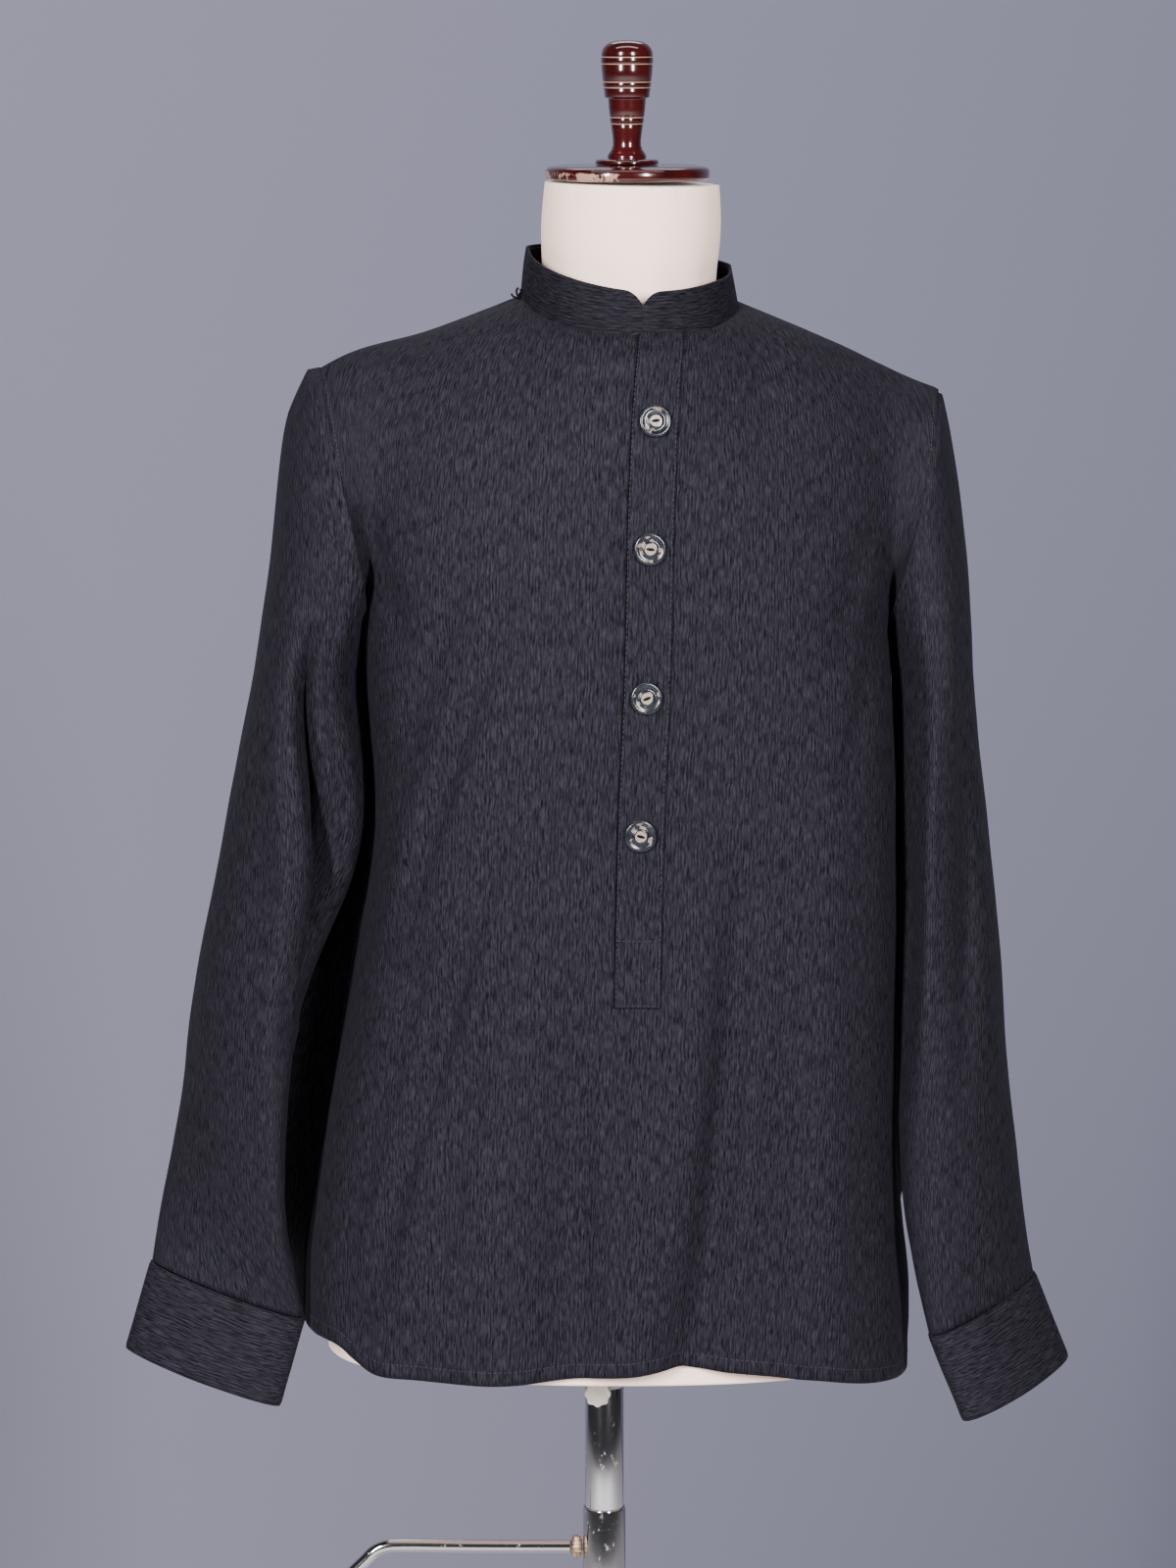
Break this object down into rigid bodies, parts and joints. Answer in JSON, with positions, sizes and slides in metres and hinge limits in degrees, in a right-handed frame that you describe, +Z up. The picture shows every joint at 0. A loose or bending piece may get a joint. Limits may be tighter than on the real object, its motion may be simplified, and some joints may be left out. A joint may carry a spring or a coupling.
{
  "type": "kurta on a dress form",
  "caption": "Long-sleeved band-collar kurta with a half placket and side vents, standing on a limbless dress form on a pole.",
  "frame": {"origin": "centre of the base plate's underside, on the floor", "axes": "+Z up along the pole, -Y towards the kurta's front, +X towards the right-hand side of someone facing it"},
  "size_m": [0.6181, 0.36, 1.6504],
  "materials": {
    "crepe": "matt crepe weave",
    "button": "polished, marbled",
    "jersey": "smooth cream cover",
    "lacquer": "gloss red-brown lacquer",
    "chrome": "bright, with rust specks",
    "grey_plastic": "matt",
    "ivory_plastic": "satin",
    "weld": "rusty weld",
    "painted_steel": "satin grey"
  },
  "bodies": {
    "root": {"front_panel": "crepe", "back_panel": "crepe", "back_yoke": "crepe", "left_sleeve": "crepe", "right_sleeve": "crepe", "left_cuff": "crepe", "right_cuff": "crepe", "band_collar": "crepe", "placket": "crepe", "button_1": "button", "button_2": "button", "button_3": "button", "button_4": "button", "dress_form": "jersey", "neck_cap": "lacquer", "finial": "lacquer", "pole_socket": "grey_plastic", "clamp_knob": "ivory_plastic", "upper_tube": "chrome", "lower_tube": "chrome", "weld_bead": "weld", "trouser_bar": "chrome", "base_plate": "painted_steel"}
  },
  "joints": []
}
